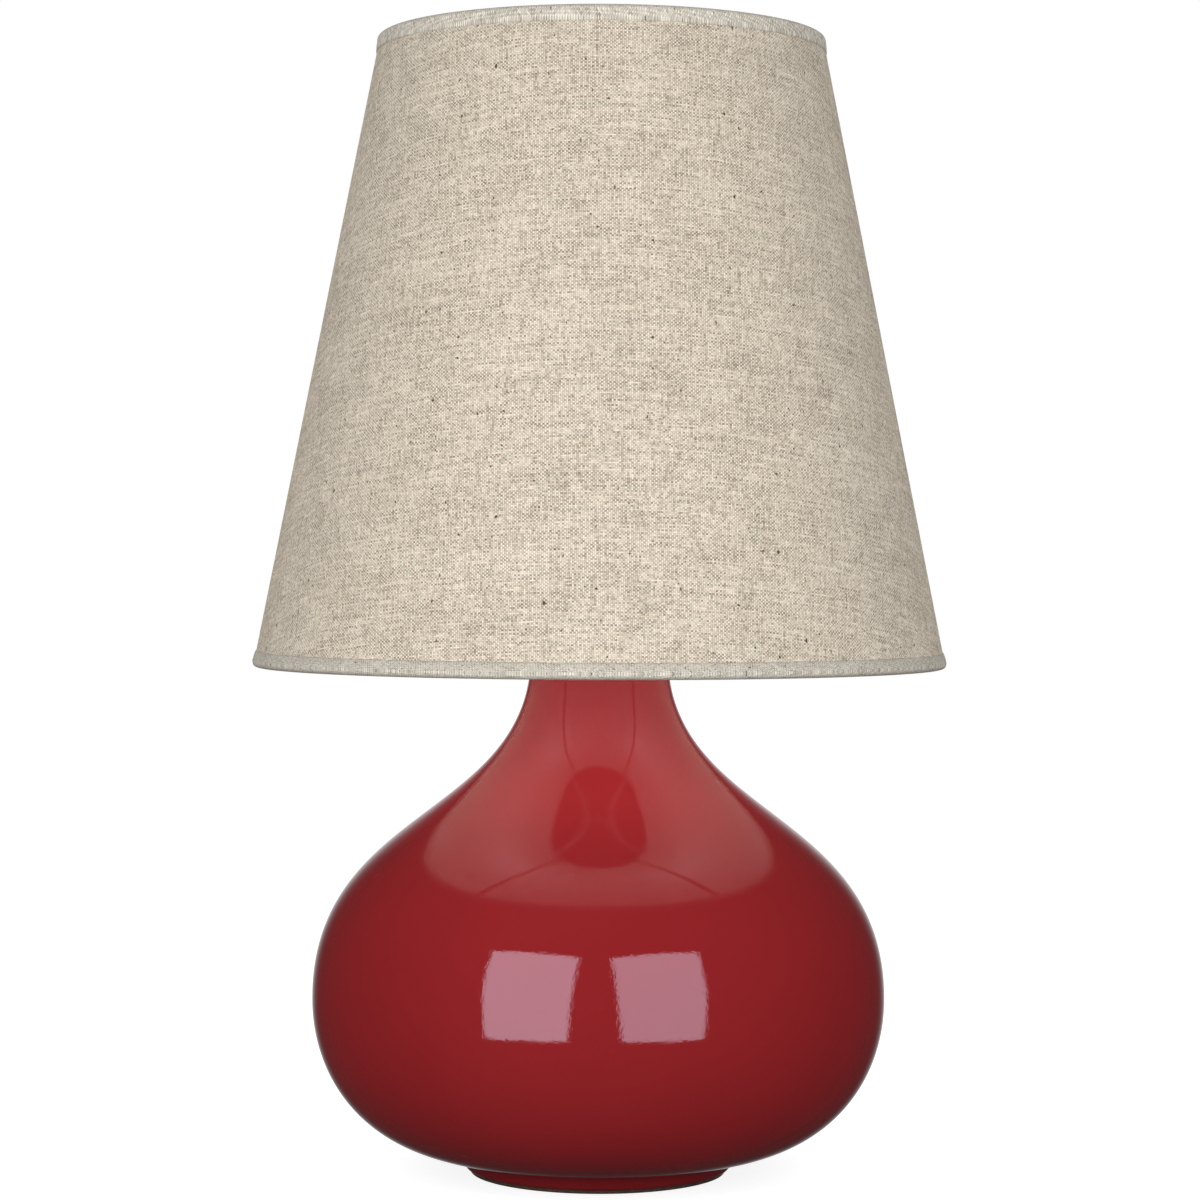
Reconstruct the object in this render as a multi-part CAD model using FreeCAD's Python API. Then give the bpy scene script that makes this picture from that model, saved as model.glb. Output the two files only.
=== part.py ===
import FreeCAD, Part
import math
import os

# Table lamp with a round glazed pot, a long neck and a tapered cloth shade.
# Millimetres, +Z up. The origin is on the table under the middle of the lamp.
# The lamp's front faces -Y, its harp spreads along X and the cord inlet is at the back, +Y.

Vector = FreeCAD.Vector
axis_z = Vector(0, 0, 1)
axis_y = Vector(0, 1, 0)
axis_x = Vector(1, 0, 0)
full_turn = 360

# Clearances
running_gap = 0.05     # shaft in its hole, radial
slide_gap = 0.1        # sleeve on a wire, or a face that another body rests on
seat_gap = 0.1         # part dropped into another of the same body, radial
loose_gap = 0.3        # lamp base in its screw shell, radial
ring_gap = 0.2         # wire ring between the shade's wall and the folded tape

# Pot: outer form
felt_thickness = 2.0
foot_radius = 75.0           # where the foot meets the belly
foot_height = 10.0           # of that line above the table
foot_taper = 3.5             # the foot draws in by this much towards the table
foot_edge_round = 2.5
foot_throat = 2.4            # hollow between foot and belly
belly_radius = 153.4
belly_height = 94.1
neck_radius = 36.8
body_top = 280.5
belly_flat_share = 0.634     # how far the underside runs flat before it turns up, of its width
belly_flat_rise = 3.5
belly_low_share = 0.520      # fullness under the widest line, of the height below it
belly_high_share = 0.555     # fullness over the widest line, of the height above it
neck_share = 0.4835          # how long the neck stays slim, of the same height
rim_round = 2.0

# Pot: wall and floor
wall = 6.5
floor_thickness = 6.5
recess_depth = 12.0
recess_radius = 58.0
floor_corner_share = 0.25    # where the floor inside turns up, of the underside's width
inner_flat_share = 0.32      # the inside keeps an even wall with shares of its own
inner_low_share = 0.76
inner_high_share = 0.534
inner_neck_share = 0.507
pipe_hole_gap = 1.2

# Cord inlet at the back
inlet_share = 0.52           # place on the curve under the belly's widest line
inlet_bore = 6.5
inlet_barrel = 9.6
inlet_flange = 15.0
inlet_flange_thickness = 2.2
inlet_lip = 1.1
inlet_tail = 2.5

# Felt
felt_inset = 0.5

# Threaded pipe and what it clamps
pipe_radius = 4.85
pipe_bore = 7.0
pipe_tail = 1.5
rubber_thickness = 1.5
rubber_radius = 24.0
bottom_washer_thickness = 1.6
bottom_washer_radius = 30.0
lock_washer_thickness = 1.2
lock_washer_radius = 8.0
bottom_nut_thickness = 4.5
nut_flats = 14.3
cap_sheet = 1.0
cap_overlap = 0.6            # the cap's edge stays this far inside the neck's edge
cap_rise = 8.0
cap_crown_radius = 10.0
cap_lip_depth = 6.0
cap_lip_gap = 1.0
spool_height = 12.0
spool_radius = 9.0
spool_waist = 6.6
saddle_thickness = 1.6
saddle_nut_thickness = 3.5

# Socket
hub_height = 6.0
hub_radius = 7.6
socket_cap_rise = 11.0
socket_skirt = 5.0
socket_radius = 17.4
socket_cap_sheet = 0.7
shell_sheet = 0.5
shell_height = 49.0
sleeve_sheet = 0.6
sleeve_inset = 0.8
shell_bead = 0.7
notch_width = 7.0
block_radius = 13.2
block_height = 27.0
block_plate = 2.0
block_plate_radius = 14.9
block_above_dome = 6.0
thread_shell_sheet = 0.5
thread_shell_height = 24.0
contact_height = 2.6
contact_radius = 4.0
contact_sheet = 0.6
contact_hole = 6.0
terminal_head_radius = 3.0
terminal_head = 1.4
terminal_shank = 1.5
terminal_length = 5.0
terminal_drop = 13.0         # below the block's plate
set_screw_radius = 1.7
set_screw_head_radius = 2.6
set_screw_head = 2.2
screw_slot = 0.8

# Switch
knob_drop = 12.5             # its axis below the block's plate
shaft_radius = 1.6
shaft_inner = 9.0
knob_start = 21.0
knob_length = 13.0
knob_radius = 6.2
knob_end_round = 1.5
knob_flutes = 12
knob_flute_radius = 0.9
knob_shaft_depth = 9.0

# Bulb
bulb_length = 107.0
bulb_radius = 30.0
bulb_base_radius = 13.0
bulb_base_height = 20.0
bulb_base_sheet = 0.4
bulb_glass_wall = 0.9
bulb_neck_radius = 12.4
bulb_tip_height = 1.6
bulb_tip_radius = 4.6
bulb_insulator_height = 3.0
bulb_insulator_radius = 9.5
bulb_neck_in_base = 6.0

# Harp
harp_height = 267.0          # from the saddle to the seat of the shade
harp_width = 106.0
harp_wire_radius = 1.6
harp_foot = 27.2             # distance of each leg's foot from the axis
harp_leg = 31.0
harp_spread = 62.0
harp_foot_bend = 34.0
harp_side_bend = 90.0
harp_shoulder_bend = 42.0
harp_pad_radius = 6.5
saddle_width = 12.0
saddle_centre_radius = 12.0
saddle_tip_height = 15.0
saddle_tip_width = 4.4
ferrule_length = 17.0
ferrule_radius = 3.7
ferrule_wall = 0.9
ferrule_shoulder = 2.0

# Swivel stud on the harp
stud_flange_radius = 8.0
stud_flange = 1.6
stud_tail_radius = 2.5
stud_rivet_radius = 4.2
stud_rivet = 1.4
stud_thread_radius = 3.1
stud_thread_length = 12.0

# Shade
shade_bottom = 271.0
shade_height = 336.0
shade_bottom_radius = 185.1  # cloth face at the lowest edge
shade_top_radius = 118.3     # cloth face at the top edge
cloth_thickness = 0.9
liner_thickness = 0.6
trim_thickness = 1.0
trim_width = 8.4
trim_turn = 5.0              # what the tape covers on the inside
ring_wire_radius = 1.6
hub_washer_radius = 12.0
hub_washer_thickness = 2.0
hub_washer_gap = 0.5
arm_count = 3
arm_first_angle = 90.0
arm_bend = 10.0

# Finial
finial_collar_radius = 7.5
finial_collar_height = 4.0
finial_waist_radius = 4.6
finial_waist_height = 3.0
finial_ball_radius = 10.0
finial_bore_depth = 10.8

# Levels up the lamp, each from the one below it
floor_bottom = felt_thickness + recess_depth
floor_top = floor_bottom + floor_thickness
rubber_bottom = floor_bottom - rubber_thickness
bottom_washer_bottom = rubber_bottom - bottom_washer_thickness
lock_washer_bottom = bottom_washer_bottom - lock_washer_thickness
bottom_nut_bottom = lock_washer_bottom - bottom_nut_thickness
pipe_bottom = bottom_nut_bottom - pipe_tail
cap_top = body_top + cap_rise
spool_top = cap_top + spool_height
saddle_top = spool_top + saddle_thickness
hub_bottom = saddle_top + saddle_nut_thickness
hub_top = hub_bottom + hub_height
pipe_top = hub_top
skirt_bottom = hub_top + socket_cap_rise
skirt_top = skirt_bottom + socket_skirt
block_bottom = hub_top + block_above_dome
block_top = block_bottom + block_height
thread_shell_bottom = block_top
thread_shell_top = thread_shell_bottom + thread_shell_height
shell_bottom = skirt_bottom + seat_gap
shell_top = shell_bottom + shell_height
contact_top = thread_shell_bottom + contact_height
bulb_bottom = contact_top + slide_gap
bulb_top = bulb_bottom + bulb_length
knob_level = block_top - knob_drop
terminal_level = block_top - terminal_drop
set_screw_level = hub_bottom + hub_height / 2
leg_bottom = saddle_top + saddle_tip_height + slide_gap
seat_level = spool_top + harp_height
harp_crown = seat_level - stud_flange - slide_gap - harp_wire_radius
hub_washer_bottom = seat_level + slide_gap
hub_washer_top = hub_washer_bottom + hub_washer_thickness
finial_bottom = hub_washer_top + slide_gap
shade_top = shade_bottom + shade_height

# Sizes that follow from others
pipe_bore_radius = pipe_bore / 2
pipe_clear = pipe_radius + running_gap
neck_bore_radius = neck_radius - wall
belly_low_span = belly_height - foot_height
belly_high_span = body_top - rim_round - belly_height
underside_width = belly_radius - foot_radius
shell_radius = socket_radius - socket_cap_sheet - seat_gap
sleeve_radius = shell_radius - shell_sheet - seat_gap
thread_shell_inner = bulb_base_radius + loose_gap
thread_shell_radius = thread_shell_inner + thread_shell_sheet
shade_slope = (shade_bottom_radius - shade_top_radius) / shade_height
shade_wall = cloth_thickness + liner_thickness
rim_radius = trim_thickness + (shade_wall + 2 * ring_wire_radius + ring_gap) / 2
wall_bottom = shade_bottom + rim_radius
wall_top = shade_top - rim_radius


def point(radius, height):
    return Vector(radius, 0, height)


def line(start, end):
    return Part.LineSegment(start, end).toShape()


def arc(start, middle, end):
    return Part.Arc(start, middle, end).toShape()


def bezier(poles):
    curve = Part.BezierCurve()
    curve.setPoles(poles)
    return curve.toShape()


def outline(points):
    return [line(a, b) for a, b in zip(points, points[1:])]


def turned(edges):
    # A solid of revolution about Z from a closed outline in the XZ plane.
    wire = Part.Wire(edges)
    face = Part.Face(wire)
    return Part.makeSolid(face.revolve(Vector(0, 0, 0), axis_z, full_turn))


def turned_points(points):
    return turned(outline(points + [points[0]]))


def disc(radius, hole, bottom, height):
    ring = Part.makeCylinder(radius, height, Vector(0, 0, bottom))
    if hole > 0:
        ring = ring.cut(Part.makeCylinder(hole, height, Vector(0, 0, bottom)))
    return ring


def hex_nut(bottom, thickness):
    corner_radius = nut_flats / math.sqrt(3)
    corners = []
    for step in range(7):
        angle = math.radians(60 * step)
        corners.append(Vector(corner_radius * math.cos(angle), corner_radius * math.sin(angle), bottom))
    prism = Part.Face(Part.makePolygon(corners)).extrude(Vector(0, 0, thickness))
    chamfer_height = corner_radius - nut_flats / 2
    crown = disc(corner_radius, 0, bottom, thickness)
    crown = crown.makeChamfer(chamfer_height, [crown.Edges[0], crown.Edges[2]])
    bore = Part.makeCylinder(pipe_clear, thickness, Vector(0, 0, bottom))
    return prism.common(crown).cut(bore)


def outer_low_poles():
    flat = point(foot_radius + belly_flat_share * underside_width, foot_height + belly_flat_rise)
    turn = point(belly_radius, belly_height - belly_low_share * belly_low_span)
    return [point(foot_radius, foot_height), flat, turn, point(belly_radius, belly_height)]


def high_poles(radius_at_belly, radius_at_neck, belly_share, slim_share):
    low = point(radius_at_belly, belly_height + belly_share * belly_high_span)
    high = point(radius_at_neck, belly_height + (1 - slim_share) * belly_high_span)
    end = point(radius_at_neck, belly_height + belly_high_span)
    return [point(radius_at_belly, belly_height), low, high, end]


def inlet_frame():
    # The middle of the cord hole on the outer skin, and the outward direction there.
    curve = Part.BezierCurve()
    curve.setPoles(outer_low_poles())
    place = curve.value(inlet_share)
    along = curve.tangent(inlet_share)[0]
    outward = Vector(0, along.z, -along.x)
    outward.normalize()
    return Vector(0, place.x, place.z), outward


def ceramic_body():
    foot_edge = foot_radius - foot_taper
    throat = foot_radius - foot_throat
    throat_low = point(throat - foot_throat * 0.1, foot_height - foot_throat)
    throat_mid = point(throat + foot_throat * 0.3, foot_height - foot_throat * 0.35)
    round_mid = foot_edge_round * (1 - math.sqrt(0.5))
    inner_belly = belly_radius - wall
    floor_corner = foot_radius + floor_corner_share * underside_width
    rim_mid = rim_round * (1 - math.sqrt(0.5))
    rim_low = body_top - rim_round
    foot = [
        line(point(recess_radius, felt_thickness), point(foot_edge - foot_edge_round, felt_thickness)),
        arc(point(foot_edge - foot_edge_round, felt_thickness),
            point(foot_edge - round_mid, felt_thickness + round_mid),
            point(foot_edge, felt_thickness + foot_edge_round)),
        line(point(foot_edge, felt_thickness + foot_edge_round), throat_low),
        arc(throat_low, throat_mid, point(foot_radius, foot_height)),
    ]
    outer_high = high_poles(belly_radius, neck_radius, belly_high_share, neck_share)
    skin = [bezier(outer_low_poles()), bezier(outer_high)]
    rim = [
        arc(point(neck_radius, rim_low), point(neck_radius - rim_mid, body_top - rim_mid),
            point(neck_radius - rim_round, body_top)),
        line(point(neck_radius - rim_round, body_top), point(neck_bore_radius + rim_round, body_top)),
        arc(point(neck_bore_radius + rim_round, body_top),
            point(neck_bore_radius + rim_mid, body_top - rim_mid), point(neck_bore_radius, rim_low)),
    ]
    inner_low = [
        point(inner_belly, belly_height),
        point(inner_belly, belly_height - inner_low_share * (belly_height - floor_top)),
        point(foot_radius + inner_flat_share * underside_width, floor_top),
        point(floor_corner, floor_top),
    ]
    inner_high = high_poles(inner_belly, neck_bore_radius, inner_high_share, inner_neck_share)
    inside = [bezier(inner_high[::-1]), bezier(inner_low)]
    pipe_hole = pipe_radius + pipe_hole_gap
    base = outline([
        point(floor_corner, floor_top), point(pipe_hole, floor_top), point(pipe_hole, floor_bottom),
        point(recess_radius, floor_bottom), point(recess_radius, felt_thickness)])
    pot = turned(foot + skin + rim + inside + base)
    place, outward = inlet_frame()
    inlet_hole = inlet_barrel / 2 + seat_gap
    start = place - outward * (2 * wall)
    pass_hole = Part.makeCylinder(inlet_hole, 4 * wall, start, outward)
    return pot.cut(pass_hole)


def cord_bushing():
    # Snap-in bushing: flange on the skin, barrel through the wall, lip behind it.
    flange = inlet_flange / 2
    barrel = inlet_barrel / 2
    bore = inlet_bore / 2
    edge = inlet_flange_thickness / 2
    lip_start = -wall - 1
    lip_end = lip_start - inlet_lip
    face = inlet_flange_thickness
    edge_mid = edge * (1 - math.sqrt(0.5))
    profile = [
        line(point(bore, face), point(flange - edge, face)),
        arc(point(flange - edge, face), point(flange - edge_mid, face - edge_mid),
            point(flange, face - edge)),
    ] + outline([
        point(flange, face - edge), point(flange, 0), point(barrel, 0),
        point(barrel, lip_start), point(barrel + inlet_lip, lip_start), point(barrel + inlet_lip, lip_end),
        point(barrel - seat_gap, lip_end - inlet_tail), point(bore, lip_end - inlet_tail),
        point(bore, face)])
    bushing = turned(profile)
    place, outward = inlet_frame()
    turn = FreeCAD.Rotation(axis_z, outward)
    bushing.Placement = FreeCAD.Placement(place + outward * seat_gap, turn)
    return bushing


def felt_pad():
    pad = foot_radius - foot_taper - foot_edge_round - felt_inset
    return disc(pad, 0, 0, felt_thickness)


def threaded_pipe():
    pipe = disc(pipe_radius, pipe_bore_radius, pipe_bottom, pipe_top - pipe_bottom)
    return pipe


def washer(radius, bottom, thickness):
    return disc(radius, pipe_clear, bottom, thickness)


def vase_cap():
    # Spun cap: a flat flange on the neck's edge, a low dome and a lip that centres it in the neck.
    edge = neck_radius - cap_overlap
    foot = neck_bore_radius
    lip = neck_bore_radius - cap_lip_gap
    crown = cap_crown_radius
    dome_mid = point((foot + crown) / 2 + 1, body_top + cap_rise * 0.72)
    under_mid = point((foot + crown) / 2 + 1 - cap_sheet * 0.4, body_top + cap_rise * 0.72 - cap_sheet)
    edges = [
        line(point(edge, body_top), point(edge, body_top + cap_sheet)),
        line(point(edge, body_top + cap_sheet), point(foot, body_top + cap_sheet)),
        arc(point(foot, body_top + cap_sheet), dome_mid, point(crown, cap_top)),
        line(point(crown, cap_top), point(pipe_clear, cap_top)),
        line(point(pipe_clear, cap_top), point(pipe_clear, cap_top - cap_sheet)),
        line(point(pipe_clear, cap_top - cap_sheet), point(crown, cap_top - cap_sheet)),
        arc(point(crown, cap_top - cap_sheet), under_mid, point(lip - cap_sheet, body_top)),
    ] + outline([
        point(lip - cap_sheet, body_top), point(lip - cap_sheet, body_top - cap_lip_depth),
        point(lip, body_top - cap_lip_depth), point(lip, body_top), point(edge, body_top)])
    return turned(edges)


def neck_spool():
    step = spool_height / 6
    waist = arc(point(spool_radius, spool_top - step), point(spool_waist, cap_top + spool_height / 2),
                point(spool_radius, cap_top + step))
    edges = outline([
        point(spool_radius, cap_top + step), point(spool_radius, cap_top), point(pipe_clear, cap_top),
        point(pipe_clear, spool_top), point(spool_radius, spool_top), point(spool_radius, spool_top - step)])
    return turned(edges + [waist])


def harp_saddle():
    # Bent strip with a round middle and two narrow upright tips.
    tip = saddle_thickness / 2
    outer = harp_foot + tip
    corner = Vector(-outer, -saddle_width / 2, spool_top)
    strip = Part.makeBox(2 * outer, saddle_width, saddle_thickness, corner)
    middle = disc(saddle_centre_radius, 0, spool_top, saddle_thickness)
    shape = strip.fuse(middle)
    shoulder = saddle_tip_height * 0.22
    for side in (-1, 1):
        profile = Part.makePolygon([
            Vector(side * outer, -saddle_width / 2, saddle_top - saddle_thickness),
            Vector(side * outer, saddle_width / 2, saddle_top - saddle_thickness),
            Vector(side * outer, saddle_tip_width / 2, saddle_top + shoulder),
            Vector(side * outer, saddle_tip_width / 2, saddle_top + saddle_tip_height),
            Vector(side * outer, -saddle_tip_width / 2, saddle_top + saddle_tip_height),
            Vector(side * outer, -saddle_tip_width / 2, saddle_top + shoulder),
            Vector(side * outer, -saddle_width / 2, saddle_top - saddle_thickness)])
        shape = shape.fuse(Part.Face(profile).extrude(Vector(-side * saddle_thickness, 0, 0)))
    bore = Part.makeCylinder(pipe_clear, saddle_thickness, Vector(0, 0, spool_top))
    return shape.cut(bore).removeSplitter()


def socket_cap():
    # Hub on the pipe, dome and skirt. The skirt holds the shell.
    sheet = socket_cap_sheet
    dome_mid = point(hub_radius + (socket_radius - hub_radius) * 0.78, hub_top + socket_cap_rise * 0.4)
    under_mid = point(dome_mid.x - sheet * 0.75, dome_mid.z + sheet * 0.75)
    edges = [
        arc(point(hub_radius, hub_top), dome_mid, point(socket_radius, skirt_bottom)),
        line(point(socket_radius, skirt_bottom), point(socket_radius, skirt_top)),
        line(point(socket_radius, skirt_top), point(socket_radius - sheet, skirt_top)),
        line(point(socket_radius - sheet, skirt_top), point(socket_radius - sheet, skirt_bottom)),
        arc(point(socket_radius - sheet, skirt_bottom), under_mid, point(hub_radius, hub_top + sheet)),
    ] + outline([
        point(hub_radius, hub_top + sheet), point(pipe_clear, hub_top + sheet),
        point(pipe_clear, hub_bottom), point(hub_radius, hub_bottom), point(hub_radius, hub_top)])
    screw_hole = Part.makeCylinder(
        set_screw_radius + running_gap, hub_radius, Vector(0, 0, set_screw_level), axis_y)
    return turned(edges).cut(screw_hole)


def slotted_screw(shank_radius, shank_length, head_radius, head_height):
    # A screw along +Z with its tip at the origin and a slot across its head.
    shank = Part.makeCylinder(shank_radius, shank_length)
    head = Part.makeCylinder(head_radius, head_height, Vector(0, 0, shank_length))
    slot = Part.makeBox(
        2 * head_radius, screw_slot, head_height,
        Vector(-head_radius, -screw_slot / 2, shank_length + head_height - screw_slot))
    return shank.fuse(head).cut(slot)


def laid_along(shape, start, direction):
    shape.Placement = FreeCAD.Placement(start, FreeCAD.Rotation(axis_z, direction))
    return shape


def set_screw():
    shank = hub_radius - pipe_radius
    screw = slotted_screw(set_screw_radius, shank, set_screw_head_radius, set_screw_head)
    return laid_along(screw, Vector(0, pipe_radius + running_gap, set_screw_level), axis_y)


def shaft_notch(reach):
    # The slot that lets the switch's shaft out, open at the lower edge.
    half = notch_width / 2
    low = shell_bottom - slide_gap
    slot = Part.makeBox(notch_width, reach, knob_level - low, Vector(-half, -reach, low))
    return slot.fuse(Part.makeCylinder(half, reach, Vector(0, -reach, knob_level), axis_y))


def socket_shell():
    inner = shell_radius - shell_sheet
    bead = shell_bead
    edges = outline([
        point(shell_radius, shell_top - 3 * bead), point(shell_radius, shell_bottom),
        point(inner, shell_bottom), point(inner, shell_top), point(shell_radius, shell_top),
        point(shell_radius, shell_top - bead)])
    rolled = arc(point(shell_radius, shell_top - bead), point(shell_radius + bead, shell_top - 2 * bead),
                 point(shell_radius, shell_top - 3 * bead))
    return turned(edges + [rolled]).cut(shaft_notch(socket_radius))


def socket_sleeve():
    height = shell_height - 2 * sleeve_inset
    tube = disc(sleeve_radius, sleeve_radius - sleeve_sheet, shell_bottom + sleeve_inset, height)
    return tube.cut(shaft_notch(socket_radius))


def socket_body():
    block = disc(block_radius, 0, block_bottom, block_height)
    plate = disc(block_plate_radius, 0, block_top - block_plate, block_plate)
    shape = block.fuse(plate)
    shaft_end = shaft_inner - 1
    bore = Part.makeCylinder(
        shaft_radius + running_gap, block_radius, Vector(0, -shaft_end - block_radius, knob_level), axis_y)
    shape = shape.cut(bore)
    for side in (-1, 1):
        inner = side * (block_radius - terminal_length)
        hole = Part.makeCylinder(
            terminal_shank + running_gap, terminal_length, Vector(inner, 0, terminal_level), axis_x * side)
        shape = shape.cut(hole)
    return shape.removeSplitter()


def screw_shell():
    # Threaded metal cup that takes the bulb's base, with a hole for the middle contact.
    inner = thread_shell_inner
    floor = thread_shell_bottom + thread_shell_sheet
    return turned_points([
        point(thread_shell_radius, thread_shell_bottom), point(thread_shell_radius, thread_shell_top),
        point(inner, thread_shell_top), point(inner, floor), point(contact_hole, floor),
        point(contact_hole, thread_shell_bottom)])


def centre_contact():
    # Low bowed leaf on the block's plate.
    foot = thread_shell_bottom
    rise = contact_height - contact_sheet
    return turned_points([
        point(contact_radius, foot), point(contact_radius, foot + contact_sheet),
        point(contact_radius * 0.5, contact_top), point(0, contact_top), point(0, foot + rise),
        point(contact_radius * 0.4, foot + rise), point(contact_radius * 0.8, foot)])


def terminal_screws():
    screws = []
    for side in (-1, 1):
        screw = slotted_screw(terminal_shank, terminal_length, terminal_head_radius, terminal_head)
        start = Vector(side * (block_radius - terminal_length + running_gap), 0, terminal_level)
        screws.append(laid_along(screw, start, axis_x * side))
    return Part.makeCompound(screws)


def switch_shaft():
    length = knob_start + knob_shaft_depth - shaft_inner
    return Part.makeCylinder(shaft_radius, length, Vector(0, -shaft_inner - length, knob_level), axis_y)


def switch_knob():
    start = Vector(0, -knob_start, knob_level)
    outward = Vector(0, -1, 0)
    knob = Part.makeCylinder(knob_radius, knob_length, start, outward)
    knob = knob.makeFillet(knob_end_round, [knob.Edges[0], knob.Edges[2]])
    for step in range(knob_flutes):
        angle = 2 * math.pi * step / knob_flutes
        side = Vector(knob_radius * math.cos(angle), 0, knob_radius * math.sin(angle))
        knob = knob.cut(Part.makeCylinder(knob_flute_radius, knob_length, start + side, outward))
    bore = Part.makeCylinder(shaft_radius + running_gap, knob_shaft_depth + running_gap, start, outward)
    return knob.cut(bore)


def bulb_side_poles(inset):
    neck_level = bulb_bottom + bulb_insulator_height + bulb_base_height + bulb_tip_height
    widest = bulb_top - bulb_radius
    span = widest - neck_level
    neck = bulb_neck_radius - inset
    wide = bulb_radius - inset
    return [point(neck, neck_level), point(neck, neck_level + 0.45 * span),
            point(wide, widest - 0.6 * span), point(wide, widest)]


def bulb_glass():
    low = bulb_bottom + bulb_tip_height + bulb_insulator_height + bulb_base_height - bulb_neck_in_base
    outer = bulb_side_poles(0)
    inner = bulb_side_poles(bulb_glass_wall)
    widest = bulb_top - bulb_radius
    crown = bulb_radius * math.sqrt(0.5)
    inner_crown = (bulb_radius - bulb_glass_wall) * math.sqrt(0.5)
    edges = [
        line(point(bulb_neck_radius, low), outer[0]),
        bezier(outer),
        arc(outer[3], point(crown, widest + crown), point(0, bulb_top)),
        line(point(0, bulb_top), point(0, bulb_top - bulb_glass_wall)),
        arc(point(0, bulb_top - bulb_glass_wall), point(inner_crown, widest + inner_crown), inner[3]),
        bezier(inner[::-1]),
        line(inner[0], point(bulb_neck_radius - bulb_glass_wall, low)),
        line(point(bulb_neck_radius - bulb_glass_wall, low), point(bulb_neck_radius, low)),
    ]
    return turned(edges)


def bulb_base():
    low = bulb_bottom + bulb_tip_height + bulb_insulator_height
    inner = bulb_base_radius - bulb_base_sheet
    high = low + bulb_base_height
    return turned_points([
        point(bulb_base_radius, low), point(bulb_base_radius, high), point(inner, high),
        point(inner, low + bulb_base_sheet), point(bulb_insulator_radius - 1, low + bulb_base_sheet),
        point(bulb_insulator_radius - 1, low)])


def bulb_insulator():
    low = bulb_bottom + bulb_tip_height
    high = low + bulb_insulator_height
    return turned_points([
        point(0, low), point(bulb_tip_radius, low), point(bulb_insulator_radius, high), point(0, high)])


def bulb_contact():
    # Drop of solder: a low spherical cap.
    edge = bulb_tip_radius - seat_gap
    ball = (edge ** 2 + bulb_tip_height ** 2) / (2 * bulb_tip_height)
    half_angle = math.asin(edge / ball) / 2
    middle = point(ball * math.sin(half_angle), bulb_bottom + ball * (1 - math.cos(half_angle)))
    high = bulb_bottom + bulb_tip_height
    dome = arc(point(edge, high), middle, point(0, bulb_bottom))
    return turned([dome] + outline([point(0, bulb_bottom), point(0, high), point(edge, high)]))


def corner_arc(before, corner, after, radius):
    # The tangent arc that rounds a corner between two straight runs.
    back = (before - corner).normalize()
    ahead = (after - corner).normalize()
    half_angle = back.getAngle(ahead) / 2
    reach = radius / math.tan(half_angle)
    start = corner + back * reach
    end = corner + ahead * reach
    bisector = (back + ahead).normalize()
    middle = corner + bisector * (radius / math.sin(half_angle) - radius)
    return start, middle, end


def rounded_path(points, radii):
    edges = []
    cursor = points[0]
    for before, corner, after, radius in zip(points, points[1:], points[2:], radii):
        start, middle, end = corner_arc(before, corner, after, radius)
        edges.append(line(cursor, start))
        edges.append(arc(start, middle, end))
        cursor = end
    edges.append(line(cursor, points[-1]))
    return Part.Wire(edges)


def rod(path, radius):
    # A round rod along a path of straight runs and tangent arcs.
    first = path.OrderedEdges[0]
    start = path.OrderedVertexes[0].Point
    direction = first.tangentAt(first.FirstParameter)
    section = Part.Wire([Part.Circle(start, direction, radius).toShape()])
    return path.makePipeShell([section], True, False)


def harp_wire():
    half = harp_width / 2
    knee = leg_bottom + harp_leg
    points = [
        point(harp_foot, leg_bottom), point(harp_foot, knee), point(half, knee + harp_spread),
        point(half, harp_crown), point(0, harp_crown)]
    right = rod(rounded_path(points, [harp_foot_bend, harp_side_bend, harp_shoulder_bend]), harp_wire_radius)
    left = right.mirror(Vector(0, 0, 0), axis_x)
    pad = disc(harp_pad_radius, 0, harp_crown - harp_wire_radius, 2 * harp_wire_radius)
    hole_start = Vector(0, 0, harp_crown - 2 * harp_wire_radius)
    hole = Part.makeCylinder(stud_tail_radius + running_gap, 4 * harp_wire_radius, hole_start)
    return right.fuse([left, pad]).cut(hole).removeSplitter()


def ferrule(side):
    # Stepped sleeve: wide over the saddle's tip, narrow round the harp's leg.
    low = saddle_top + saddle_tip_height * 0.22 + slide_gap
    high = low + ferrule_length
    wide = ferrule_radius - ferrule_wall
    narrow = harp_wire_radius + slide_gap
    sleeve = turned_points([
        point(ferrule_radius, low), point(ferrule_radius, high), point(narrow, high),
        point(narrow, high - ferrule_shoulder), point(wide, high - ferrule_shoulder), point(wide, low)])
    sleeve.translate(Vector(side * harp_foot, 0, 0))
    return sleeve


def harp_stud():
    tail_bottom = harp_crown - harp_wire_radius - slide_gap
    flange_bottom = seat_level - stud_flange
    top = seat_level + stud_thread_length
    chamfer = stud_thread_radius / 4
    return turned_points([
        point(0, tail_bottom - stud_rivet), point(stud_rivet_radius * 0.6, tail_bottom - stud_rivet),
        point(stud_rivet_radius, tail_bottom), point(stud_tail_radius, tail_bottom),
        point(stud_tail_radius, flange_bottom), point(stud_flange_radius, flange_bottom),
        point(stud_flange_radius, seat_level), point(stud_thread_radius, seat_level),
        point(stud_thread_radius, top - chamfer), point(stud_thread_radius - chamfer, top), point(0, top)])


def cloth_radius(level):
    return shade_bottom_radius - shade_slope * (level - shade_bottom)


def cone_shell(outer_inset, thickness):
    low = cloth_radius(wall_bottom) - outer_inset
    high = cloth_radius(wall_top) - outer_inset
    return turned_points([
        point(low, wall_bottom), point(high, wall_top), point(high - thickness, wall_top),
        point(low - thickness, wall_bottom)])


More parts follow.
